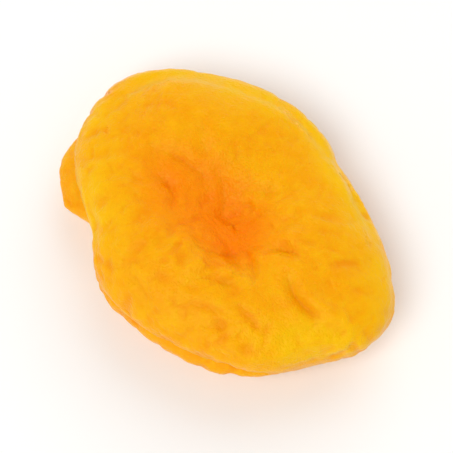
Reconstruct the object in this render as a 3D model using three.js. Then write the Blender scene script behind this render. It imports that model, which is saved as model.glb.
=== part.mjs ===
// One dried apricot: a whole fruit whose stone was pushed out before it dried, so that it sank into a
// thick oval disc. The upper cheek has fallen into a bowl with pleated walls, the rim round it stays
// puffy, the lower cheek is a low, smoother dome, and the split that the stone left runs along one side.
// It is one piece of flesh, so it is one solid.
//
// Millimetres, +Z up, +X along the fruit. The fruit lies on its lower cheek, with the middle of its
// bounding box over the origin and its flat resting spot at z = 0.

import * as THREE from "three";

const TAU = 2 * Math.PI;
const { smoothstep, euclideanModulo, lerp } = THREE.MathUtils;

// ---- Driving dimensions -------------------------------------------------------------------------

// Half-width of the fruit seen from above, every 15 degrees, anticlockwise from +X.
const OUTLINE = [
  19.9, 20.4, 18.6, 16.4, 15.1, 14.9, 16.2, 17.0, 17.3, 18.7, 20.5, 22.9,
  22.3, 20.7, 18.1, 16.1, 16.3, 16.4, 15.7, 15.7, 16.1, 16.5, 17.0, 17.2,
];
// Height of the upper cheek over the mid-plane, before the bowl sinks into it, at 8 points.
const CROWN = [6.1, 6.2, 6.0, 6.0, 6.1, 6.5, 6.7, 6.5];
// Depth of the lower cheek under the mid-plane, at 8 points.
const BELLY = [5.9, 5.7, 5.6, 5.7, 5.9, 6.0, 6.0, 6.0];
const SECTION_POWER = 2.6; // 2 is an ellipse; more gives flatter cheeks and a blunter rim
const EDGE_LIFT = 0.6; // how far the rim's middle curls up over the mid-plane
const PRESSED = 0.65; // how much of the belly is flattened by the fruit's own weight
const ROLL_OFF = 0.7; // height over which the skin curves up from the flat spot
const MEAN_RADIUS = 17;
const RIM_ARC = 8.5; // skin over the rim for each radian of latitude

// The bowl that the stone left in the upper cheek.
const BOWL = {
  x: -3.4,
  y: -0.8,
  halfLength: 9.2,
  halfWidth: 5.3,
  turn: 0.08,
  depth: 2.2,
  power: 2.6, // steepness of its wall
  corners: 5,
  cornerSize: 0.06,
};
// The bowl's deepest place: a trough across its right end.
const POCKET = {
  x: 1.3,
  y: -1.3,
  halfLength: 4.8,
  halfWidth: 3.4,
  turn: -0.75,
  depth: 0.85,
  power: 2.6,
  corners: 4,
  cornerSize: 0.05,
};
// The split, from one angle round the rim to another, between an upper and a lower lip.
const MOUTH = {
  from: 3.1,
  to: 5.95,
  softFrom: 0.4,
  softTo: 0.45,
  level: -0.02,
  sway: 0.07,
  bends: 5,
  width: 0.15,
  depth: 0.8,
};
// A tab of the lower lip that pokes out past the upper one at the split's left end.
const TAB = {
  from: 3.22,
  to: 3.83,
  softFrom: 0.35,
  softTo: 0.1,
  level: -0.24,
  sway: 0,
  bends: 0,
  width: 0.19,
  out: 2.6,
};
// A furrow just inside the rim's far side, which leaves the rim standing as a thin hem.
const HEM = { from: 1.3, to: 3.4, softFrom: 0.4, softTo: 0.4, out: 0.9, width: 0.04, depth: 0.22 };
const SUTURE = { width: 2.0, depth: 0.7, bow: 1.6 }; // the fruit's seam, along the lower cheek

const LUMPS = [
  { size: 10.5, height: 0.85 },
  { size: 5.2, height: 0.32 },
];
const BELLY_LUMPS = 0.6; // how high they are on the lower cheek, as a part of that

// Three kinds of fold, repeated at even steps round the fruit. Each fold draws from the ranges: its shift
// in steps, its reach, its turn off its heading, its half-length, the parts of the width and of the depth
// that it gets, and its bow. The folds of a radial kind head outwards.
// Pleats lie across the bowl's wall; their reach is 1 on the middle of the wall.
const PLEATS = {
  count: 26,
  width: 0.95,
  depth: 0.34,
  radial: true,
  shift: [-0.3, 0.3],
  reach: [0.75, 1.25],
  heading: [-0.35, 0.35],
  half: [1.3, 2.8],
  widths: [0.8, 1.3],
  depths: [0.35, 1.1],
  bow: [-0.8, 0.8],
};
// Rim folds follow the edge; their reach is their height on the rim.
const RIM_FOLDS = {
  count: 30,
  width: 0.8,
  depth: 0.26,
  radial: false,
  shift: [-0.4, 0.4],
  reach: [-4.2, 5.6],
  heading: [-0.25, 0.25],
  half: [2.5, 7.0],
  widths: [0.85, 1.4],
  depths: [0.4, 1.1],
  bow: [-0.9, 0.9],
};
// Belly folds spread over the lower cheek; their reach is their distance from its middle.
const BELLY_FOLDS = {
  count: 15,
  width: 1.45,
  depth: 0.42,
  radial: true,
  shift: [-0.48, 0.48],
  reach: [6, 13],
  heading: [-0.4, 0.4],
  half: [2.5, 5.5],
  widths: [0.8, 1.3],
  depths: [0.6, 1.2],
  bow: [-0.8, 0.8],
};
const BELLY_OVAL = 0.8; // how far out they lie across the fruit, as a part of how far they lie along it
// Soft bends that keep the folds from running straight, with their own part of the noise for x and y.
const WANDER = { size: 3.4, reach: 0.75, shiftX: [4.4, 0.2, 9.1], shiftY: [8.3, 5.9, 2.7] };

// Where each relief fades in or out: by height (0 at the rim's middle, 1 on a cheek), by the way out to
// the rim (1 at its edge), or by the way to the middle of the bowl's wall (1).
const UPPER_CHEEK = [0.0, 0.45];
const LOWER_CHEEK = [0.1, 0.5];
const SINKING = [-0.05, 0.3];
const RIM_INNER = [0.8, 0.97];
const RIM_OUTER = [0.72, 0.93];
const PLEATED_WALL = [0.5, 0.95];

const FACE_STEPS = 31; // grid steps along each of the ball's six faces: 12 * FACE_STEPS^2 triangles
const TOWARDS_CHEEKS = 1.35; // moves points from the rim to the cheeks, so that all triangles are alike
// Draws points towards the tab, where the skin turns sharply: a direction on the unit ball, how far the
// draw reaches and how strong it is.
const FINER = { angle: 3.52, latitude: -0.17, reach: 0.6, strength: 0.4 };
const SEED = 20;

// Creases and ridges that are this fruit's own, on the upper cheek: middle, heading in radians,
// half-length, width, depth (a ridge has a negative depth) and bow.
const OWN_FOLDS = [
  { x: 7.5, y: 1.3, heading: 0.3, half: 1.7, width: 0.95, depth: 0.45, bow: 0.2 },
  { x: 12.0, y: -1.1, heading: -0.12, half: 2.3, width: 0.75, depth: 0.42, bow: -0.4 },
  { x: 15.0, y: -0.5, heading: 0.29, half: 2.6, width: 1.0, depth: -0.3, bow: 0.2 },
  { x: 2.8, y: -6.2, heading: 0.7, half: 3.0, width: 1.15, depth: -0.45, bow: 0.8 },
  { x: 2.2, y: -2.4, heading: 0.8, half: 3.0, width: 0.9, depth: 0.32, bow: -0.3 },
  { x: 5.4, y: -2.6, heading: -0.74, half: 2.2, width: 0.8, depth: 0.3, bow: 0.3 },
  { x: -3.6, y: 1.9, heading: -0.8, half: 2.2, width: 0.8, depth: 0.2, bow: 0.5 },
  { x: -8.5, y: 1.1, heading: 0.26, half: 2.4, width: 0.85, depth: 0.32, bow: 0.3 },
  { x: -8.1, y: -3.0, heading: -0.32, half: 2.2, width: 0.8, depth: 0.32, bow: 0.4 },
  { x: -1.2, y: -13.4, heading: -0.45, half: 2.6, width: 0.8, depth: 0.22, bow: 0.3 },
  { x: 9.4, y: -11.0, heading: 0.6, half: 4.6, width: 1.0, depth: -0.35, bow: -0.3 },
];

// ---- Seeded draws and soft noise ----------------------------------------------------------------

// A draw between two values, by Lehmer's rule for random numbers.
let drawn = SEED;
function draw(low, high) {
  drawn = (drawn * 16807) % 2147483647;
  return low + ((high - low) * drawn) / 2147483647;
}

// A value in 0..1 for each whole-number point of space.
function latticeValue(i, j, k) {
  const s = Math.sin(i * 127.1 + j * 311.7 + k * 74.7) * 43758.5453;
  return s - Math.floor(s);
}

// Smooth noise in -1..1 whose lumps are one size apart. The shift picks a different part of it.
function softNoise(point, size, shift = [3.1, 7.7, 1.3]) {
  const place = [point.x / size + shift[0], point.y / size + shift[1], point.z / size + shift[2]];
  const [i, j, k] = place.map(Math.floor);
  const [u, v, w] = place.map((t) => t - Math.floor(t)).map((t) => t * t * t * (t * (t * 6 - 15) + 10));
  const row = (dj, dk) => lerp(latticeValue(i, j + dj, k + dk), latticeValue(i + 1, j + dj, k + dk), u);
  const sheet = (dk) => lerp(row(0, dk), row(1, dk), v);
  return 2 * lerp(sheet(0), sheet(1), w) - 1;
}

// ---- Curves round the fruit ---------------------------------------------------------------------

const outline = new THREE.CatmullRomCurve3(
  OUTLINE.map((r, i) => {
    const angle = (i / OUTLINE.length) * TAU;
    return new THREE.Vector3(r * Math.cos(angle), r * Math.sin(angle), 0);
  }),
  true,
  "catmullrom",
);

// A height that changes smoothly round the fruit through evenly spaced values.
function round(values, turn) {
  const n = values.length;
  const u = turn * n;
  const i = Math.floor(u);
  const f = u - i;
  const [a, b, c, d] = [-1, 0, 1, 2].map((k) => values[euclideanModulo(i + k, n)]);
  return b + 0.5 * f * (c - a + f * (2 * a - 5 * b + 4 * c - d + f * (3 * (b - c) + d - a)));
}

// 1 between a span's two angles round the rim, 0 elsewhere, with a soft start and end.
function between(turn, { from, to, softFrom, softTo }) {
  const angle = turn * TAU;
  return smoothstep(angle, from, from + softFrom) * (1 - smoothstep(angle, to - softTo, to));
}

// ---- Folds --------------------------------------------------------------------------------------

// Across a fold: a valley one width to each side of its line, between two low shoulders.
function foldSection(across) {
  return (1 - across * across) * Math.exp(-0.5 * across * across);
}

// Depth of a fold at a point: it bows to one side and fades towards both ends.
function foldDepth(fold, x, y) {
  const dx = x - fold.x;
  const dy = y - fold.y;
  const along = (dx * Math.cos(fold.heading) + dy * Math.sin(fold.heading)) / fold.half;
  const across = dy * Math.cos(fold.heading) - dx * Math.sin(fold.heading) - fold.bow * (1 - along * along);
  return fold.depth * Math.exp(-(along ** 4)) * foldSection(across / fold.width);
}

// One kind of fold, repeated round the fruit; place gives the middle for an angle and a reach.
function makeFolds(kind, place) {
  return Array.from({ length: kind.count }, (_, i) => {
    const turn = (i + draw(...kind.shift)) / kind.count;
    return {
      turn,
      ...place(turn * TAU, draw(...kind.reach)),
      heading: (kind.radial ? turn * TAU : 0) + draw(...kind.heading),
      half: draw(...kind.half),
      width: kind.width * draw(...kind.widths),
      depth: kind.depth * draw(...kind.depths),
      bow: draw(...kind.bow),
    };
  });
}

const pleats = makeFolds(PLEATS, (side, reach) => ({
  x: BOWL.x + reach * BOWL.halfLength * Math.cos(side),
  y: BOWL.y + reach * BOWL.halfWidth * Math.sin(side),
}));
// A rim fold's x is the distance round the rim from its own middle, and its y the height on the rim.
const rimFolds = makeFolds(RIM_FOLDS, (side, reach) => ({ x: 0, y: reach }));
const bellyFolds = makeFolds(BELLY_FOLDS, (side, reach) => ({
  x: reach * Math.cos(side),
  y: BELLY_OVAL * reach * Math.sin(side),
}));

// ---- The skin -----------------------------------------------------------------------------------

// How far out a point lies from a sink's middle: 1 halfway down its wall.
function sinkReach(sink, x, y) {
  const dx = x - sink.x;
  const dy = y - sink.y;
  const a = (dx * Math.cos(sink.turn) + dy * Math.sin(sink.turn)) / sink.halfLength;
  const b = (dy * Math.cos(sink.turn) - dx * Math.sin(sink.turn)) / sink.halfWidth;
  return Math.hypot(a, b) * (1 + sink.cornerSize * Math.cos(sink.corners * Math.atan2(b, a)));
}

function sinkDepth(sink, x, y) {
  return sink.depth * Math.exp(-(sinkReach(sink, x, y) ** sink.power));
}

function rimRelief(turn, latitude) {
  let relief = 0;
  for (const fold of rimFolds) {
    const gap = euclideanModulo(turn - fold.turn + 0.5, 1) - 0.5;
    relief -= foldDepth(fold, gap * TAU * MEAN_RADIUS, latitude * RIM_ARC);
  }
  return relief;
}

// A soft band along the rim, about one level of its height, which it sways over and under.
function rimBand({ level, sway, bends, width }, turn, up) {
  const middle = level + sway * Math.sin(bends * turn * TAU);
  return Math.exp(-(((up - middle) / width) ** 2));
}

// Where the skin lies in a direction from the middle of a unit ball, before the fruit is set down, and how
// deep the seam and the folds of the lower cheek are there, over the surface that they are pressed on.
function skinPoint(direction) {
  const { x: dx, y: dy, z: dz } = direction;
  const side = Math.hypot(dx, dy);
  const turn = euclideanModulo(Math.atan2(dy, dx) / TAU, 1);
  const latitude = Math.atan2(dz, side);
  const scale = (side ** SECTION_POWER + Math.abs(dz) ** SECTION_POWER) ** (-1 / SECTION_POWER);
  const out = side * scale;
  const up = dz * scale;

  const edge = outline.getPoint(turn);
  const reach = Math.hypot(edge.x, edge.y);
  const half = dz > 0 ? round(CROWN, turn) : round(BELLY, turn);
  const point = new THREE.Vector3(out * edge.x, out * edge.y, up * half + EDGE_LIFT * out ** 4);
  const slope = out / reach / reach;
  const outwards = new THREE.Vector3(slope * edge.x, slope * edge.y, up / half).normalize();

  const top = smoothstep(up, ...UPPER_CHEEK);
  const bottom = smoothstep(-up, ...LOWER_CHEEK);
  const inner = 1 - smoothstep(out, ...RIM_INNER);
  const bowl = sinkReach(BOWL, point.x, point.y);
  const foldX = point.x + WANDER.reach * softNoise(point, WANDER.size, WANDER.shiftX);
  const foldY = point.y + WANDER.reach * softNoise(point, WANDER.size, WANDER.shiftY);
  let relief = 0;
  for (const { size, height } of LUMPS) relief += height * softNoise(point, size);
  relief *= 1 - (1 - BELLY_LUMPS) * bottom;
  for (const fold of OWN_FOLDS) relief -= top * foldDepth(fold, foldX, foldY);
  const onWall = top * inner * smoothstep(bowl, ...PLEATED_WALL);
  for (const fold of pleats) relief -= onWall * foldDepth(fold, foldX, foldY);
  relief += smoothstep(out, ...RIM_OUTER) * rimRelief(turn, latitude);
  relief -= MOUTH.depth * between(turn, MOUTH) * rimBand(MOUTH, turn, up);
  const inside = (out - HEM.out) / HEM.width;
  relief -= HEM.depth * top * between(turn, HEM) * Math.exp(-inside * inside);

  const seam = (foldY - SUTURE.bow * Math.cos(point.x / MEAN_RADIUS)) / SUTURE.width;
  let hollow = SUTURE.depth * Math.exp(-seam * seam);
  for (const fold of bellyFolds) hollow += foldDepth(fold, foldX, foldY);

  const sunk = sinkDepth(BOWL, point.x, point.y) + sinkDepth(POCKET, point.x, point.y);
  point.z -= sunk * smoothstep(up, ...SINKING);
  point.addScaledVector(edge, (TAB.out * between(turn, TAB) * rimBand(TAB, turn, up)) / reach);
  return { point: point.addScaledVector(outwards, relief), hollow: bottom * hollow };
}

// Height over the flat spot: nothing below the floor, then a gentle curve up to the belly's own slope.
function settled(height) {
  const over = Math.max(height, 0);
  return over < ROLL_OFF ? (over * over) / (2 * ROLL_OFF) : over - ROLL_OFF / 2;
}

// Directions and quads of a ball made of six square grids, whose shared borders are welded. On each face
// the two grid parameters run from -45 to 45 degrees, and their tangents are the face's own coordinates,
// so that all squares are nearly alike.
function ballGrid(steps) {
  const ruler = Array.from({ length: steps + 1 }, (_, i) => Math.tan(((i / steps - 0.5) * Math.PI) / 2));
  const directions = [];
  const quads = [];
  const known = new Map();
  const corner = (axis, sign, i, j) => {
    const place = [];
    place[axis] = sign;
    place[(axis + 1) % 3] = ruler[i];
    place[(axis + 2) % 3] = sign * ruler[j];
    const name = place.map((t) => Math.round(t * 1e6)).join();
    if (!known.has(name)) known.set(name, directions.push(new THREE.Vector3(...place).normalize()) - 1);
    return known.get(name);
  };
  for (let face = 0; face < 6; face++) {
    const at = (i, j) => corner(face % 3, face < 3 ? 1 : -1, i, j);
    for (let i = 0; i < steps; i++) {
      for (let j = 0; j < steps; j++) quads.push([at(i, j), at(i + 1, j), at(i + 1, j + 1), at(i, j + 1)]);
    }
  }
  return { directions, quads };
}

// The whole skin as one closed mesh, set down on its flat resting spot over the origin.
function fruitGeometry() {
  const { directions, quads } = ballGrid(FACE_STEPS);
  const finest = new THREE.Vector3(Math.cos(FINER.angle), Math.sin(FINER.angle), Math.tan(FINER.latitude));
  finest.normalize();
  const skin = directions.map((direction) => {
    const pull = Math.exp(-direction.distanceToSquared(finest) / FINER.reach ** 2);
    direction.lerp(finest, FINER.strength * pull);
    direction.z *= TOWARDS_CHEEKS;
    return skinPoint(direction.normalize());
  });
  const points = skin.map(({ point }) => point);
  const floor = new THREE.Box3().setFromPoints(points).min.z + PRESSED;
  for (const { point, hollow } of skin) point.z = Math.max(settled(point.z - floor) + hollow, 0);
  const middle = new THREE.Box3().setFromPoints(points).getCenter(new THREE.Vector3());

  const geometry = new THREE.BufferGeometry().setFromPoints(points);
  const length = (a, b) => points[a].distanceTo(points[b]);
  const triangles = ([a, b, c, d]) => (length(a, c) < length(b, d) ? [a, b, c, a, c, d] : [a, b, d, b, c, d]);
  geometry.setIndex(quads.flatMap(triangles)); // each quad is split along its shorter diagonal
  geometry.translate(-middle.x, -middle.y, 0);
  geometry.computeVertexNormals();
  return geometry;
}

const flesh = new THREE.Mesh(
  fruitGeometry(),
  new THREE.MeshStandardMaterial({ color: 0xf9a514, roughness: 0.48, metalness: 0 }),
);
flesh.name = "fruit";

const apricot = new THREE.Group();
apricot.name = "dried_apricot";
apricot.add(flesh);

export default apricot;
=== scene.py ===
# A dried apricot on a pale floor, in soft studio light.
#
# The fruit is one closed skin, worked out as whole arrays on the six faces of a ball. It has the same
# cheeks, bowl, folds and lips as the solid that it stands for, and finer wrinkles between them.
# Lengths in the shape functions are millimetres; the mesh is written in metres.
import math

import bpy
import numpy as np
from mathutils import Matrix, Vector


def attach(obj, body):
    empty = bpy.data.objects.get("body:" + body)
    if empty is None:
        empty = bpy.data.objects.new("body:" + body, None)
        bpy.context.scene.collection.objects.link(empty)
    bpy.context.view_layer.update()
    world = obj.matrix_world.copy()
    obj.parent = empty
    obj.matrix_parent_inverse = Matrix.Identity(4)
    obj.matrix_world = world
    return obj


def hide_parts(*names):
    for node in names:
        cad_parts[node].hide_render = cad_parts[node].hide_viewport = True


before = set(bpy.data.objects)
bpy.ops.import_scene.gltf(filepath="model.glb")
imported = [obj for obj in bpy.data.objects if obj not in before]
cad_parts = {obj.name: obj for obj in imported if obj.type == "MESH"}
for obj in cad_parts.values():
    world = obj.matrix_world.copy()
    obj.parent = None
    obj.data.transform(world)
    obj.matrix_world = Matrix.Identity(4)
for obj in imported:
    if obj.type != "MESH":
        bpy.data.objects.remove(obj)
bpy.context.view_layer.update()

TAU = 2 * math.pi
MM = 0.001

# ---- The fruit's driving dimensions -------------------------------------------------------------

# Half-width of the fruit seen from above, every 15 degrees, anticlockwise from +X.
OUTLINE = [
    19.9, 20.4, 18.6, 16.4, 15.1, 14.9, 16.2, 17.0, 17.3, 18.7, 20.5, 22.9,
    22.3, 20.7, 18.1, 16.1, 16.3, 16.4, 15.7, 15.7, 16.1, 16.5, 17.0, 17.2,
]
# Height of the upper cheek over the mid-plane, before the bowl sinks into it, at 8 points.
CROWN = [6.1, 6.2, 6.0, 6.0, 6.1, 6.5, 6.7, 6.5]
# Depth of the lower cheek under the mid-plane, at 8 points.
BELLY = [5.9, 5.7, 5.6, 5.7, 5.9, 6.0, 6.0, 6.0]
SECTION_POWER = 2.6  # 2 is an ellipse; more gives flatter cheeks and a blunter rim
EDGE_LIFT = 0.6  # how far the rim's middle curls up over the mid-plane
PRESSED = 0.65  # how much of the belly is flattened by the fruit's own weight
ROLL_OFF = 0.7  # height over which the skin curves up from the flat spot
MEAN_RADIUS = 17
RIM_ARC = 8.5  # skin over the rim for each radian of latitude

# The bowl that the stone left in the upper cheek. Its power is the steepness of its wall.
BOWL = dict(
    x=-3.4, y=-0.8, half_length=9.2, half_width=5.3, turn=0.08, depth=2.2, power=2.6,
    corners=5, corner_size=0.06,
)
# The bowl's deepest place: a trough across its right end.
POCKET = dict(
    x=1.3, y=-1.3, half_length=4.8, half_width=3.4, turn=-0.75, depth=0.85, power=2.6,
    corners=4, corner_size=0.05,
)
# The split, from one angle round the rim to another, between an upper and a lower lip.
MOUTH = dict(
    start=3.1, stop=5.95, soft_start=0.4, soft_stop=0.45,
    level=-0.02, sway=0.07, bends=5, width=0.15, depth=0.8,
)
# A tab of the lower lip that pokes out past the upper one at the split's left end.
TAB = dict(
    start=3.22, stop=3.83, soft_start=0.35, soft_stop=0.1,
    level=-0.24, sway=0, bends=0, width=0.19, out=2.6,
)
# A furrow just inside the rim's far side, which leaves the rim standing as a thin hem.
HEM = dict(start=1.3, stop=3.4, soft_start=0.4, soft_stop=0.4, out=0.9, width=0.04, depth=0.22)
SUTURE = dict(width=2.0, depth=0.7, bow=1.6)  # the fruit's seam, along the lower cheek

LUMPS = [dict(size=10.5, height=0.85), dict(size=5.2, height=0.32)]
BELLY_LUMPS = 0.6  # how high they are on the lower cheek, as a part of that

# Three kinds of fold, repeated at even steps round the fruit. Each fold draws from the ranges: its shift
# in steps, its reach, its turn off its heading, its half-length, the parts of the width and of the depth
# that it gets, and its bow. The folds of a radial kind head outwards.
# Pleats lie across the bowl's wall; their reach is 1 on the middle of the wall.
PLEATS = dict(
    count=26, width=0.95, depth=0.34, radial=True,
    shift=(-0.3, 0.3), reach=(0.75, 1.25), heading=(-0.35, 0.35), half=(1.3, 2.8),
    widths=(0.8, 1.3), depths=(0.35, 1.1), bow=(-0.8, 0.8),
)
# Rim folds follow the edge; their reach is their height on the rim.
RIM_FOLDS = dict(
    count=30, width=0.8, depth=0.26, radial=False,
    shift=(-0.4, 0.4), reach=(-4.2, 5.6), heading=(-0.25, 0.25), half=(2.5, 7.0),
    widths=(0.85, 1.4), depths=(0.4, 1.1), bow=(-0.9, 0.9),
)
# Belly folds spread over the lower cheek; their reach is their distance from its middle.
BELLY_FOLDS = dict(
    count=15, width=1.45, depth=0.42, radial=True,
    shift=(-0.48, 0.48), reach=(6, 13), heading=(-0.4, 0.4), half=(2.5, 5.5),
    widths=(0.8, 1.3), depths=(0.6, 1.2), bow=(-0.8, 0.8),
)
BELLY_OVAL = 0.8  # how far out they lie across the fruit, as a part of how far they lie along it
# Creases and ridges that are this fruit's own, on the upper cheek; a ridge has a negative depth.
OWN_FOLDS = [
    dict(x=7.5, y=1.3, heading=0.3, half=1.7, width=0.95, depth=0.45, bow=0.2),
    dict(x=12.0, y=-1.1, heading=-0.12, half=2.3, width=0.75, depth=0.42, bow=-0.4),
    dict(x=15.0, y=-0.5, heading=0.29, half=2.6, width=1.0, depth=-0.3, bow=0.2),
    dict(x=2.8, y=-6.2, heading=0.7, half=3.0, width=1.15, depth=-0.45, bow=0.8),
    dict(x=2.2, y=-2.4, heading=0.8, half=3.0, width=0.9, depth=0.32, bow=-0.3),
    dict(x=5.4, y=-2.6, heading=-0.74, half=2.2, width=0.8, depth=0.3, bow=0.3),
    dict(x=-3.6, y=1.9, heading=-0.8, half=2.2, width=0.8, depth=0.2, bow=0.5),
    dict(x=-8.5, y=1.1, heading=0.26, half=2.4, width=0.85, depth=0.32, bow=0.3),
    dict(x=-8.1, y=-3.0, heading=-0.32, half=2.2, width=0.8, depth=0.32, bow=0.4),
    dict(x=-1.2, y=-13.4, heading=-0.45, half=2.6, width=0.8, depth=0.22, bow=0.3),
    dict(x=9.4, y=-11.0, heading=0.6, half=4.6, width=1.0, depth=-0.35, bow=-0.3),
]
# The narrow crease along each of them: parts of the fold's own width and depth, and how round its bottom is.
CREASE = dict(width=0.26, depth=0.6, rounding=0.03)
# Soft bends that keep the folds from running straight, with their own part of the noise for x and y.
WANDER = dict(size=3.4, reach=0.75, shift_x=(4.4, 0.2, 9.1), shift_y=(8.3, 5.9, 2.7))

# Where each relief fades in or out: by height (0 at the rim's middle, 1 on a cheek), by the way out to
# the rim (1 at its edge), or by the way to the middle of the bowl's wall (1).
UPPER_CHEEK, LOWER_CHEEK, SINKING = (0.0, 0.45), (0.1, 0.5), (-0.05, 0.3)
RIM_INNER, RIM_OUTER, PLEATED_WALL = (0.8, 0.97), (0.72, 0.93), (0.5, 0.95)

# ---- The fine relief ----------------------------------------------------------------------------

# Soft folds of the drying skin: short waves that flow towards the bowl on the upper cheek, and round it
# elsewhere. Each wave draws from the ranges: its length, its spacing and the root of its strength.
FLOW = dict(
    count=1100,
    depth=0.1,  # on the upper cheek
    side_depth=0.16,  # on the rim and the lower cheek
    length=(1.8, 4.6),
    spacing=(1.4, 4.2),
    root_strength=(0, 1.3),
    thickness=2,  # how deep under the skin a wave still reaches
    cut_off=2.2,  # lengths from its middle at which a wave has faded out
    swing=0.8,  # how far a wave may turn off the flow, in radians
    swirl=1.5,  # how far the flow itself turns from place to place
    swirl_size=7.5,
    swirl_shift=(6.1, 2.8, 0.9),
    sharpness=1.7,
)
# Waves go round the fruit where the upper cheek has faded under one value, or the way out is past the other.
ROUND_THE_FRUIT = dict(under=0.5, past=0.9)
CREPE = dict(depth=0.05, size=0.95, swell=3, sharpness=1.5, shift=(1.1, 2.2, 3.3))
GRAIN = dict(depth=0.045, size=0.55, shift=(3.1, 0.2, 7.3))
# Bends of the crepe and the grain, with their own part of the noise for x, y and z.
BENDS = dict(size=1.9, reach=0.7, shifts=((5.2, 1.3, 8.1), (9.7, 4.1, 2.6), (0.4, 6.8, 3.9)))
# Where the skin is taut its folds are low: in patches, and more so towards the upper cheek's far side.
TAUT = dict(size=6.5, shift=(1.7, 3.3, 9.2), drift=16, span=(-0.9, 0.5), least=0.3)

# ---- Where the colour changes -------------------------------------------------------------------

# How orange the bowl and its pocket are, partly the flesh's own deeper orange and partly painted shade of the
# hollow, and how sharply that ends on their walls.
SUNK = dict(bowl=0.78, bowl_power=4, pocket=0.28, pocket_power=3)
# The rim's yellow is partly the flesh's own lighter edge and partly a painted glow of light through the thin
# flesh.
YELLOW_RIM = (0.65, 0.97)  # where the face's orange goes over to yellow, on the way out to the edge
# The rim is nearly as orange as the face on one side and under its middle, where painted shade takes away its
# yellow: the way to that side, the millimetres over which that shade comes in, and how much less yellow each
# is.
SHADED_SIDE, SIDE_SHADE_SPAN, SIDE_SHADE = (0.19, -0.98, 0.0), (7, 13), 0.75
UNDERSIDE_SHADE = 0.85
PATCHY = dict(size=5.5, strength=0.6, shift=(3.3, 4.6, 9.4))  # how the rim's yellow comes and goes

# ---- The mesh's grid and the seeds --------------------------------------------------------------

FACE_STEPS = 124  # grid steps along each of the ball's six faces: 12 * FACE_STEPS^2 triangles
TOWARDS_CHEEKS = 1.35  # moves points from the rim to the cheeks, so that all faces are alike
SEED = 20  # for the pleats, rim folds and belly folds
FINE_SEED = 7  # for the flowing folds

# ---- Seeded draws and soft noise ----------------------------------------------------------------

LEHMER_FACTOR, LEHMER_MODULUS = 16807, 2147483647
LATTICE_WAVES, LATTICE_GAIN = (127.1, 311.7, 74.7), 43758.5453
OTHER_SLOPES = (31, 57)  # lattice steps to unrelated values, for a slope's second and third part
SLOPE_GAIN = 1.7  # brings gradient noise up to about -1..1

drawn = SEED


def draw(low, high):
    """A draw between two values, by Lehmer's rule: each is the last one times a factor, modulo a prime."""
    global drawn
    drawn = drawn * LEHMER_FACTOR % LEHMER_MODULUS
    return low + (high - low) * drawn / LEHMER_MODULUS


def smoothstep(x, low, high):
    """0 below low, 1 above high and 3t^2 - 2t^3 between them."""
    t = np.clip((x - low) / (high - low), 0, 1)
    return t * t * (3 - 2 * t)


def lattice_value(i, j, k):
    """A value in 0..1 for each whole-number point of space: the tail of a large sine."""
    s = np.sin(i * LATTICE_WAVES[0] + j * LATTICE_WAVES[1] + k * LATTICE_WAVES[2]) * LATTICE_GAIN
    return s - np.floor(s)


def noise_cells(points, size, shift):
    """Each point's lattice cell, its place in the cell, and for each corner of the cell its share.

    The shares are products of 6t^5 - 15t^4 + 10t^3 or of 1 minus that, for the three coordinates.
    """
    place = points / size + np.array(shift)
    cell = np.floor(place)
    f = place - cell
    u, v, w = (f ** 3 * (f * (f * 6 - 15) + 10)).T
    corners = [(i, j, k) for i in (0, 1) for j in (0, 1) for k in (0, 1)]
    shares = [(u if i else 1 - u) * (v if j else 1 - v) * (w if k else 1 - w) for i, j, k in corners]
    return cell, f, zip(corners, shares)


def soft_noise(points, size, shift=(3.1, 7.7, 1.3)):
    """Smooth noise in -1..1 whose lumps are one size apart: lattice values, softly mixed."""
    cell, _, shared_corners = noise_cells(points, size, shift)
    return 2 * sum(share * lattice_value(*(cell + corner).T) for corner, share in shared_corners) - 1


def leather_noise(points, size, shift):
    """Gradient noise, about -1..1: each lattice point's random slope times the way to it, softly mixed."""
    cell, f, shared_corners = noise_cells(points, size, shift)
    mixed = 0
    for corner, share in shared_corners:
        a, b, c = (cell + corner).T
        x, y, z = (f - corner).T
        slope_x = 2 * lattice_value(a, b, c) - 1
        slope_y = 2 * lattice_value(b + OTHER_SLOPES[0], c, a) - 1
        slope_z = 2 * lattice_value(c, a + OTHER_SLOPES[1], b) - 1
        mixed = mixed + share * (slope_x * x + slope_y * y + slope_z * z)
    return SLOPE_GAIN * mixed


def puffs(value, sharpness):
    """Flat puffs between narrow valleys: 0 on the puffs, and minus the value's depth in the valleys."""
    return -np.log1p(np.exp(-sharpness * value)) / sharpness


# ---- Curves and folds ---------------------------------------------------------------------------

def ring(values, turn):
    """A value that changes smoothly round the fruit: a closed Catmull-Rom curve through the values."""
    values = np.asarray(values, float)
    u = turn * len(values)
    i = np.floor(u).astype(int)
    f = u - i
    a, b, c, d = (values[(i + k) % len(values)] for k in (-1, 0, 1, 2))
    return b + 0.5 * f * (c - a + f * (2 * a - 5 * b + 4 * c - d + f * (3 * (b - c) + d - a)))


def between(turn, span):
    """1 between a span's two angles round the rim and 0 elsewhere, with a soft start and stop."""
    angle, start, stop = turn * TAU, span["start"], span["stop"]
    begun = smoothstep(angle, start, start + span["soft_start"])
    return begun * (1 - smoothstep(angle, stop - span["soft_stop"], stop))


def place_on_fold(x, y, fold):
    """The way along a fold from its middle, in half-lengths, and across it from its bowed line."""
    dx, dy = x - fold["x"], y - fold["y"]
    c, s = math.cos(fold["heading"]), math.sin(fold["heading"])
    along = (dx * c + dy * s) / fold["half"]
    return along, dy * c - dx * s - fold["bow"] * (1 - along * along)


def fold_depth(x, y, fold):
    """Depth of one fold: (1 - a^2) exp(-a^2 / 2) across it and exp(-l^4) along it."""
    along, across = place_on_fold(x, y, fold)
    across = across / fold["width"]
    return fold["depth"] * np.exp(-(along ** 4)) * (1 - across * across) * np.exp(-0.5 * across * across)


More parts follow.
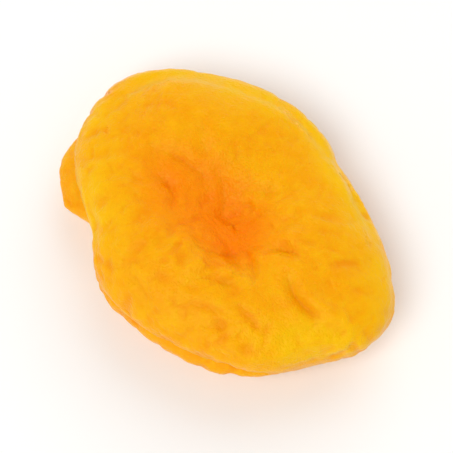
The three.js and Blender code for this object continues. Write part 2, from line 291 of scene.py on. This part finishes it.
def crease_depth(x, y, fold):
    """A narrow crease along a fold's line: exp(-l^4 - a) with a rounded bottom, where a is the way across."""
    along, across = place_on_fold(x, y, fold)
    across = across / (CREASE["width"] * fold["width"])
    rounded = np.sqrt(across * across + CREASE["rounding"])
    return CREASE["depth"] * fold["depth"] * np.exp(-(along ** 4) - rounded)


def make_folds(kind, place):
    """One kind of fold, repeated round the fruit; place gives the middle for an angle and a reach."""
    folds = []
    for i in range(kind["count"]):
        turn = (i + draw(*kind["shift"])) / kind["count"]
        x, y = place(turn * TAU, draw(*kind["reach"]))
        folds.append(dict(
            turn=turn, x=x, y=y,
            heading=(turn * TAU if kind["radial"] else 0) + draw(*kind["heading"]),
            half=draw(*kind["half"]),
            width=kind["width"] * draw(*kind["widths"]),
            depth=kind["depth"] * draw(*kind["depths"]),
            bow=draw(*kind["bow"]),
        ))
    return folds


def on_bowl_wall(side, reach):
    """The point of the bowl's wall on one side."""
    return (BOWL["x"] + reach * BOWL["half_length"] * math.cos(side),
            BOWL["y"] + reach * BOWL["half_width"] * math.sin(side))


def on_rim(side, reach):
    """Rim folds have the distance round the rim from their own middle as x, and the height on it as y."""
    return 0, reach


def on_belly(side, reach):
    """The point of the lower cheek on one side."""
    return reach * math.cos(side), BELLY_OVAL * reach * math.sin(side)


# ---- The skin -----------------------------------------------------------------------------------

def sink_reach(sink, x, y):
    """How far out a point lies from a sink's middle, 1 halfway down its wall, with rounded corners."""
    dx, dy = x - sink["x"], y - sink["y"]
    c, s = math.cos(sink["turn"]), math.sin(sink["turn"])
    a = (dx * c + dy * s) / sink["half_length"]
    b = (dy * c - dx * s) / sink["half_width"]
    return np.hypot(a, b) * (1 + sink["corner_size"] * np.cos(sink["corners"] * np.arctan2(b, a)))


def sink_depth(sink, x, y):
    """How deep the skin sinks: depth times exp(-reach^power)."""
    return sink["depth"] * np.exp(-(sink_reach(sink, x, y) ** sink["power"]))


def rim_band(band, turn, up):
    """A soft band along the rim, about one level of its height, which it sways over and under."""
    level = band["level"] + band["sway"] * np.sin(band["bends"] * turn * TAU)
    return np.exp(-(((up - level) / band["width"]) ** 2))


def ball_grid(steps):
    """Directions and quads of a ball made of six square grids, whose shared borders are welded.

    On each face the two grid parameters run from -45 to 45 degrees, and their tangents are the face's
    own coordinates, so that all squares are nearly alike.
    """
    side = np.tan(np.linspace(-math.pi / 4, math.pi / 4, steps + 1))
    u, v = np.meshgrid(side, side, indexing="ij")
    flat = np.stack([u.ravel(), v.ravel(), np.ones(u.size)], axis=1)
    row = steps + 1
    corner = np.arange(steps)[:, None] * row + np.arange(steps)[None, :]
    square = np.stack([corner, corner + row, corner + row + 1, corner + 1], axis=-1).reshape(-1, 4)
    turns = [
        [[1, 0, 0], [0, 1, 0], [0, 0, 1]],
        [[-1, 0, 0], [0, 1, 0], [0, 0, -1]],
        [[0, 1, 0], [0, 0, 1], [1, 0, 0]],
        [[0, -1, 0], [0, 0, 1], [-1, 0, 0]],
        [[0, 0, 1], [1, 0, 0], [0, 1, 0]],
        [[0, 0, -1], [1, 0, 0], [0, -1, 0]],
    ]
    places = np.concatenate([flat @ np.array(turn, float) for turn in turns])
    quads = np.concatenate([square + face * len(flat) for face in range(len(turns))])
    _, first, same = np.unique(np.round(places, 9), axis=0, return_index=True, return_inverse=True)
    places = places[first]
    return places / np.linalg.norm(places, axis=1, keepdims=True), same.reshape(-1)[quads]


def normals_of(points, quads):
    """Vertex normals: the cross products of the quads' diagonals, added up at their corners."""
    a, b, c, d = (points[quads[:, k]] for k in range(4))
    face = np.cross(c - a, d - b)
    total = np.zeros_like(points)
    for k in range(4):
        np.add.at(total, quads[:, k], face)
    return total / np.linalg.norm(total, axis=1, keepdims=True)


def cheeks(directions):
    """The fruit's skin with its main folds, for directions from the middle of a unit ball.

    The section is a superellipse, the outline and heights are closed curves, and lumps, folds, pleats
    and lips move the skin along its normal. The tab is pushed out level, and the bowl sinks straight
    down into the upper cheek. The seam and the folds of the lower cheek come out apart, as hollows over
    the surface that it is pressed on, and so does the depth of the narrow creases. The last result says
    where each point is: on the way to the bowl's and the pocket's wall, on the upper cheek, and out to
    the edge.
    """
    dx, dy, dz = directions.T
    side = np.hypot(dx, dy)
    turn = np.arctan2(dy, dx) / TAU % 1
    latitude = np.arctan2(dz, side)
    scale = (side ** SECTION_POWER + np.abs(dz) ** SECTION_POWER) ** (-1 / SECTION_POWER)
    out, up = side * scale, dz * scale

    compass = np.arange(len(OUTLINE)) / len(OUTLINE) * TAU
    edge_x, edge_y = ring(OUTLINE * np.cos(compass), turn), ring(OUTLINE * np.sin(compass), turn)
    reach = np.hypot(edge_x, edge_y)
    half = np.where(dz > 0, ring(CROWN, turn), ring(BELLY, turn))
    points = np.stack([out * edge_x, out * edge_y, up * half + EDGE_LIFT * out ** 4], axis=1)
    outwards = np.stack([out * edge_x / reach ** 2, out * edge_y / reach ** 2, up / half], axis=1)
    outwards /= np.linalg.norm(outwards, axis=1, keepdims=True)

    x, y, _ = points.T
    fold_x = x + WANDER["reach"] * soft_noise(points, WANDER["size"], WANDER["shift_x"])
    fold_y = y + WANDER["reach"] * soft_noise(points, WANDER["size"], WANDER["shift_y"])
    top, bottom = smoothstep(up, *UPPER_CHEEK), smoothstep(-up, *LOWER_CHEEK)
    inner = 1 - smoothstep(out, *RIM_INNER)
    bowl, pocket = sink_reach(BOWL, x, y), sink_reach(POCKET, x, y)
    relief = sum(lump["height"] * soft_noise(points, lump["size"]) for lump in LUMPS)
    relief *= 1 - (1 - BELLY_LUMPS) * bottom
    relief -= top * sum(fold_depth(fold_x, fold_y, fold) for fold in OWN_FOLDS)
    pleats = sum(fold_depth(fold_x, fold_y, fold) for fold in make_folds(PLEATS, on_bowl_wall))
    relief -= top * inner * smoothstep(bowl, *PLEATED_WALL) * pleats
    rim = smoothstep(out, *RIM_OUTER)
    for fold in make_folds(RIM_FOLDS, on_rim):
        round_rim = ((turn - fold["turn"] + 0.5) % 1 - 0.5) * TAU * MEAN_RADIUS
        relief -= rim * fold_depth(round_rim, latitude * RIM_ARC, fold)
    relief -= MOUTH["depth"] * between(turn, MOUTH) * rim_band(MOUTH, turn, up)
    inside = (out - HEM["out"]) / HEM["width"]
    relief -= HEM["depth"] * top * between(turn, HEM) * np.exp(-inside * inside)

    seam = (fold_y - SUTURE["bow"] * np.cos(x / MEAN_RADIUS)) / SUTURE["width"]
    hollows = SUTURE["depth"] * np.exp(-seam * seam)
    hollows += sum(fold_depth(fold_x, fold_y, fold) for fold in make_folds(BELLY_FOLDS, on_belly))
    creased = top * sum(crease_depth(fold_x, fold_y, fold) for fold in OWN_FOLDS if fold["depth"] > 0)

    sunk = sink_depth(BOWL, x, y) + sink_depth(POCKET, x, y)
    tab = TAB["out"] * between(turn, TAB) * rim_band(TAB, turn, up)
    points[:, :2] += (tab / reach)[:, None] * np.stack([edge_x, edge_y], axis=1)
    points[:, 2] -= sunk * smoothstep(up, *SINKING)
    where = dict(bowl=bowl, pocket=pocket, top=top, out=out)
    return points + outwards * relief[:, None], bottom * hollows, creased, where


def settled(height):
    """Height over the flat spot: 0 below the floor, then a gentle curve up to the belly's own slope."""
    over = np.maximum(height, 0)
    return np.where(over < ROLL_OFF, over * over / (2 * ROLL_OFF), over - ROLL_OFF / 2)


def flowing_folds(points, normals, where):
    """Soft folds of the drying skin: many short waves, each across its own heading, added up.

    A wave is cos(2 pi across / spacing) under exp(-along^2 - across^2), in the plane of the skin.
    """
    global drawn
    drawn = FINE_SEED
    order = np.argsort(points[:, 0])
    ordered_x = points[order, 0]
    swirl = FLOW["swirl"] * soft_noise(points, FLOW["swirl_size"], FLOW["swirl_shift"])
    goes_round = (where["top"] < ROUND_THE_FRUIT["under"]) | (where["out"] > ROUND_THE_FRUIT["past"])
    waves = np.zeros(len(points))
    for _ in range(FLOW["count"]):
        place = int(draw(0, len(points)))
        half, spacing = draw(*FLOW["length"]), draw(*FLOW["spacing"])
        turn = draw(-1, 1) * FLOW["swing"] + swirl[place]
        phase, strength = draw(0, TAU), draw(*FLOW["root_strength"]) ** 2
        middle, normal = points[place], normals[place]
        spoke = np.array([middle[0] - BOWL["x"], middle[1] - BOWL["y"], 0])
        if goes_round[place]:
            spoke = np.cross([0, 0, 1], spoke)
        spoke -= normal * (spoke @ normal)
        spoke /= np.linalg.norm(spoke)
        beside = np.cross(normal, spoke)
        c, s = math.cos(turn), math.sin(turn)
        far = FLOW["cut_off"] * half
        low, high = np.searchsorted(ordered_x, [middle[0] - far, middle[0] + far])
        near = order[low:high]
        offset = points[near] - middle
        along = offset @ (c * spoke + s * beside) / half
        across = offset @ (c * beside - s * spoke)
        through = offset @ normal / FLOW["thickness"]
        envelope = np.exp(-(along ** 2) - (across / spacing) ** 2 - through ** 2)
        waves[near] += strength * envelope * np.cos(TAU * across / spacing + phase)
    return waves / waves.std()


def fine_relief(points, normals, where):
    """Folds, crepe and grain; the first two are lower where the skin is taut."""
    folds = puffs(flowing_folds(points, normals, where), FLOW["sharpness"])
    folds *= FLOW["depth"] + (FLOW["side_depth"] - FLOW["depth"]) * (1 - where["top"])
    shifts = [soft_noise(points, BENDS["size"], shift) for shift in BENDS["shifts"]]
    bent = points + BENDS["reach"] * np.stack(shifts, axis=1)
    crepe = CREPE["swell"] * leather_noise(bent, CREPE["size"], CREPE["shift"])
    folds += CREPE["depth"] * puffs(crepe, CREPE["sharpness"])
    grain = GRAIN["depth"] * leather_noise(bent, GRAIN["size"], GRAIN["shift"])
    slack = soft_noise(points, TAUT["size"], TAUT["shift"]) - where["top"] * points[:, 1] / TAUT["drift"]
    return (TAUT["least"] + (1 - TAUT["least"]) * smoothstep(slack, *TAUT["span"])) * folds + grain


def rim_glow_and_shade(points, where):
    """How yellow the skin is: fully at the edge, partly its own lighter tone and partly a painted glow; less
    on one side and under it, where shade is painted; and in patches.
    """
    yellow = smoothstep(where["out"], *YELLOW_RIM)
    yellow *= 1 - SIDE_SHADE * smoothstep(points @ SHADED_SIDE, *SIDE_SHADE_SPAN)
    yellow *= 1 - UNDERSIDE_SHADE * (1 - where["top"])
    return yellow * (1 + PATCHY["strength"] * soft_noise(points, PATCHY["size"], PATCHY["shift"]))


def bowl_orange_and_shade(where):
    """How orange the skin is in the bowl, partly its own deeper orange and partly painted shade of the
    hollow: exp(-reach^power), for the bowl and again for its pocket.
    """
    bowl = SUNK["bowl"] * np.exp(-(where["bowl"] ** SUNK["bowl_power"]))
    return where["top"] * (bowl + SUNK["pocket"] * np.exp(-(where["pocket"] ** SUNK["pocket_power"])))


def fruit_skin():
    """The finished skin in millimetres: points, quads and the values that its colour follows."""
    directions, quads = ball_grid(FACE_STEPS)
    directions = directions * [1, 1, TOWARDS_CHEEKS]
    directions /= np.linalg.norm(directions, axis=1, keepdims=True)
    points, hollows, creased, where = cheeks(directions)
    floor = points[:, 2].min() + PRESSED
    points[:, 2] = np.maximum(settled(points[:, 2] - floor) + hollows, 0)
    normals = normals_of(points, quads)
    fine = fine_relief(points, normals, where)
    fine -= fine.mean() + creased
    points = points + normals * fine[:, None]
    points[:, 2] = np.maximum(points[:, 2], 0)
    values = dict(sunk=bowl_orange_and_shade(where), rim=rim_glow_and_shade(points, where), raised=fine)
    low, high = points.min(axis=0), points.max(axis=0)
    points[:, :2] -= (low[:2] + high[:2]) / 2
    return points, quads, values


def build_fruit(material):
    """One closed mesh of the skin, smooth shaded, with its colour values as attributes."""
    points, quads, values = fruit_skin()
    mesh = bpy.data.meshes.new("apricot_skin")
    mesh.from_pydata(points * MM, [], quads)
    mesh.polygons.foreach_set("use_smooth", np.ones(len(quads), bool))
    for name, value in values.items():
        attribute = mesh.attributes.new(name, "FLOAT", "POINT")
        attribute.data.foreach_set("value", value.astype(np.float32))
    mesh.materials.append(material)
    skin = bpy.data.objects.new("apricot_skin", mesh)
    bpy.context.scene.collection.objects.link(skin)
    return skin


# ---- Materials ----------------------------------------------------------------------------------

# The rim's yellow is partly a painted glow, the bowl's orange partly painted shade of the hollow, and the
# creases' orange painted shade.
FACE, RIM_YELLOW_GLOW, SPECKS, BOWL_ORANGE_AND_SHADE, CREASE_SHADE = "#f4a500", "#f5bc00", "#f8c208", "#fb8600", "#ee7300"
# Sizes of the flesh's patterns, in millimetres.
BLOTCH_SIZE, SPECK_SIZE, CELL_SIZE, ROUGHNESS_SIZE = 4, 1.923, 0.526, 0.238
UNEVENNESS = 0.7  # how much the blotches shift the bowl's orange
SPECK_SPAN, PALEST = (0.42, 0.68), 0.35  # values of the specks' noise, and the share of their colour
# The creases' deeper orange is painted shade, stronger the lower the skin lies.
CREASE_SHADE_SPAN, REDDEST = (0.02, -0.16), 0.3  # millimetres over the mean skin, and the share of their colour
CELL_SHARE = 0.6  # height of the skin's cells against the roughness in them
BUMP_DEPTH = 0.11  # millimetres
GLOSS_SPAN, DULL, GLOSSY = (0.3, 0.7), 0.38, 0.26  # values of the blotches' noise, and roughness at each
GLOW_DEPTH = 2  # how far light goes into the flesh, in millimetres


def colour(code):
    """An sRGB hex colour as linear RGBA."""
    parts = [int(code[i:i + 2], 16) / 255 for i in (1, 3, 5)]
    return [c / 12.92 if c <= 0.04045 else ((c + 0.055) / 1.055) ** 2.4 for c in parts] + [1.0]


def add_node(tree, kind, settings=None, **inputs):
    """Adds a node, sets its own settings, and sets or links its inputs by name (or by place, as _0)."""
    node = tree.nodes.new(kind)
    for name, value in (settings or {}).items():
        setattr(node, name, value)
    for name, value in inputs.items():
        key = int(name[1:]) if name[0] == "_" else name.replace("_", " ")
        if isinstance(value, bpy.types.NodeSocket):
            tree.links.new(value, node.inputs[key])
        else:
            node.inputs[key].default_value = value
    return node


def dried_flesh():
    """Apricot flesh, dried until leathery.

    The skin is a dull satin over translucent flesh: light goes a few millimetres in and comes out red,
    so thin and raised places look yellow, and the bowl and the creases a deeper orange. The base colour
    paints more of this in: a painted glow on the rim, and painted shade in the bowl, the creases, on one side
    of the rim and under it.
    """
    material = bpy.data.materials.new("dried_apricot_flesh")
    material.use_nodes = True
    tree = material.node_tree
    shader = tree.nodes["Principled BSDF"]
    place = add_node(tree, "ShaderNodeTexCoord").outputs["Object"]
    sunk, rim, raised = (
        add_node(tree, "ShaderNodeAttribute", {"attribute_name": name}).outputs["Fac"]
        for name in ("sunk", "rim", "raised")
    )

    # Blotches, where the fruit ripened unevenly, shift the colour and the bowl's edge.
    blotch = add_node(tree, "ShaderNodeTexNoise", Vector=place, Scale=1 / (BLOTCH_SIZE * MM),
                      Detail=3.0, Roughness=0.55).outputs["Fac"]
    uneven = add_node(tree, "ShaderNodeMath", {"operation": "SUBTRACT"}, _0=blotch, _1=0.5).outputs[0]
    # The bowl's orange, partly painted shade of the hollow, shifted by the blotches.
    depth = add_node(tree, "ShaderNodeMath", {"operation": "MULTIPLY_ADD", "use_clamp": True},
                     _0=uneven, _1=UNEVENNESS, _2=sunk).outputs[0]
    # Paler specks.
    speck = add_node(tree, "ShaderNodeTexNoise", Vector=place, Scale=1 / (SPECK_SIZE * MM),
                     Detail=2.0, Roughness=0.6).outputs["Fac"]
    pale = add_node(tree, "ShaderNodeMapRange", Value=speck,
                    From_Min=SPECK_SPAN[0], From_Max=SPECK_SPAN[1], To_Max=PALEST).outputs[0]
    # Creases go over to a deeper orange, the lower they lie: painted shade in the creases.
    crease = add_node(tree, "ShaderNodeMapRange", Value=raised,
                      From_Min=CREASE_SHADE_SPAN[0], From_Max=CREASE_SHADE_SPAN[1], To_Max=REDDEST).outputs[0]
    # Mixed over the face's colour in turn: the rim's yellow with its painted glow, pale specks, the bowl's
    # orange with its painted shade, and painted shade in the creases.
    base = colour(FACE)
    for share, change in ((rim, RIM_YELLOW_GLOW), (pale, SPECKS), (depth, BOWL_ORANGE_AND_SHADE), (crease, CREASE_SHADE)):
        base = add_node(tree, "ShaderNodeMix", {"data_type": "RGBA"},
                        _0=share, _6=base, _7=colour(change)).outputs[2]
    tree.links.new(base, shader.inputs["Base Color"])

    # The skin's own grain: small cells with a finer roughness in them.
    cells = add_node(tree, "ShaderNodeTexVoronoi", {"feature": "DISTANCE_TO_EDGE"},
                     Vector=place, Scale=1 / (CELL_SIZE * MM)).outputs[0]
    grain = add_node(tree, "ShaderNodeTexNoise", Vector=place, Scale=1 / (ROUGHNESS_SIZE * MM),
                     Detail=2.0).outputs["Fac"]
    height = add_node(tree, "ShaderNodeMath", {"operation": "MULTIPLY_ADD"},
                      _0=cells, _1=CELL_SHARE, _2=grain).outputs[0]
    bump = add_node(tree, "ShaderNodeBump", Height=height, Strength=1.0, Distance=BUMP_DEPTH * MM)
    tree.links.new(bump.outputs[0], shader.inputs["Normal"])

    # The film of dried juice is glossier on some blotches, and takes the flesh's colour.
    gloss = add_node(tree, "ShaderNodeMapRange", Value=blotch,
                     From_Min=GLOSS_SPAN[0], From_Max=GLOSS_SPAN[1], To_Min=DULL, To_Max=GLOSSY)
    tree.links.new(gloss.outputs[0], shader.inputs["Roughness"])
    shader.inputs["Specular IOR Level"].default_value = 0.35
    shader.inputs["Specular Tint"].default_value = (1.0, 0.72, 0.25, 1.0)
    # Red light goes the whole glow depth in, green less and blue least.
    shader.inputs["Subsurface Weight"].default_value = 0.4
    shader.inputs["Subsurface Radius"].default_value = (1.0, 0.4, 0.1)
    shader.inputs["Subsurface Scale"].default_value = GLOW_DEPTH * MM
    return material


def studio_white():
    """Matt white paper, pressed smooth: it gives soft shadows and no reflections."""
    material = bpy.data.materials.new("matt_white_paper")
    material.use_nodes = True
    shader = material.node_tree.nodes["Principled BSDF"]
    shader.inputs["Base Color"].default_value = colour("#fbfaf8")
    shader.inputs["Roughness"].default_value = 0.9
    return material


# ---- Stage, lights and camera, in metres --------------------------------------------------------

AZIMUTH, ELEVATION = math.radians(45), math.radians(69)
LENS = 135
DISTANCE = 0.195
NEAREST = 0.01  # where the camera's view starts
AIM = (0, 0, 0.005)
FLOOR_HALF = 1.5
# Light of the tent's walls and of its roof, which is reached at this height of the unit sky.
TENT = dict(walls=1.0, overhead=0.3, roof=0.9)


def look_at(thing, target):
    """Turns a camera or light so that its own -Z points at the target."""
    thing.rotation_euler = (Vector(target) - thing.location).to_track_quat("-Z", "Y").to_euler()


def add_camera():
    """The camera, at its azimuth and elevation, looking at the fruit's middle."""
    camera = bpy.data.objects.new("camera", bpy.data.cameras.new("camera"))
    camera.data.lens = LENS
    camera.data.clip_start = NEAREST
    level = math.cos(ELEVATION)
    camera.location = Vector(AIM) + DISTANCE * Vector(
        (level * math.sin(AZIMUTH), -level * math.cos(AZIMUTH), math.sin(ELEVATION)))
    look_at(camera, AIM)
    bpy.context.scene.collection.objects.link(camera)
    bpy.context.scene.camera = camera


def add_softbox(name, place, size, watts, glossy=True):
    """A round softbox over the fruit. Without gloss, skin is lit by it but doesn't mirror it."""
    light = bpy.data.lights.new(name, "AREA")
    light.shape = "DISK"
    light.size = size
    light.energy = watts
    thing = bpy.data.objects.new(name, light)
    thing.location = place
    look_at(thing, (0, 0, 0))
    bpy.context.scene.collection.objects.link(thing)
    thing.visible_glossy = glossy


def add_light_tent():
    """White walls all round, bright at the floor's height and dimmer overhead, where the camera is."""
    world = bpy.data.worlds.new("light_tent")
    world.use_nodes = True
    tree = world.node_tree
    ray = add_node(tree, "ShaderNodeTexCoord").outputs["Generated"]
    height = add_node(tree, "ShaderNodeSeparateXYZ", Vector=ray).outputs["Z"]
    glow = add_node(tree, "ShaderNodeMapRange", Value=height, From_Min=0.0, From_Max=TENT["roof"],
                    To_Min=TENT["walls"], To_Max=TENT["overhead"]).outputs[0]
    seen = add_node(tree, "ShaderNodeLightPath").outputs["Is Camera Ray"]
    strength = add_node(tree, "ShaderNodeMix", _0=seen, _2=glow, _3=1.0).outputs[0]
    background = tree.nodes["Background"]
    background.inputs["Color"].default_value = (1, 1, 1, 1)
    tree.links.new(strength, background.inputs["Strength"])
    bpy.context.scene.world = world


def add_floor():
    """A flat square of paper under the fruit, centred on it."""
    corners = [(-1, -1), (1, -1), (1, 1), (-1, 1)]
    mesh = bpy.data.meshes.new("floor")
    mesh.from_pydata([(FLOOR_HALF * x, FLOOR_HALF * y, 0) for x, y in corners], [], [(0, 1, 2, 3)])
    mesh.materials.append(studio_white())
    floor = bpy.data.objects.new("floor", mesh)
    bpy.context.scene.collection.objects.link(floor)
    return floor


fruit = build_fruit(dried_flesh())
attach(fruit, "root")
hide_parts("fruit")

add_floor()
add_camera()
add_softbox("key_softbox", place=(0.05, -0.33, 0.52), size=0.36, watts=1.9)
add_softbox("fill_softbox", place=(-0.2, 0.5, 0.45), size=0.8, watts=2.1, glossy=False)
add_light_tent()
bpy.context.scene.view_settings.view_transform = "Standard"
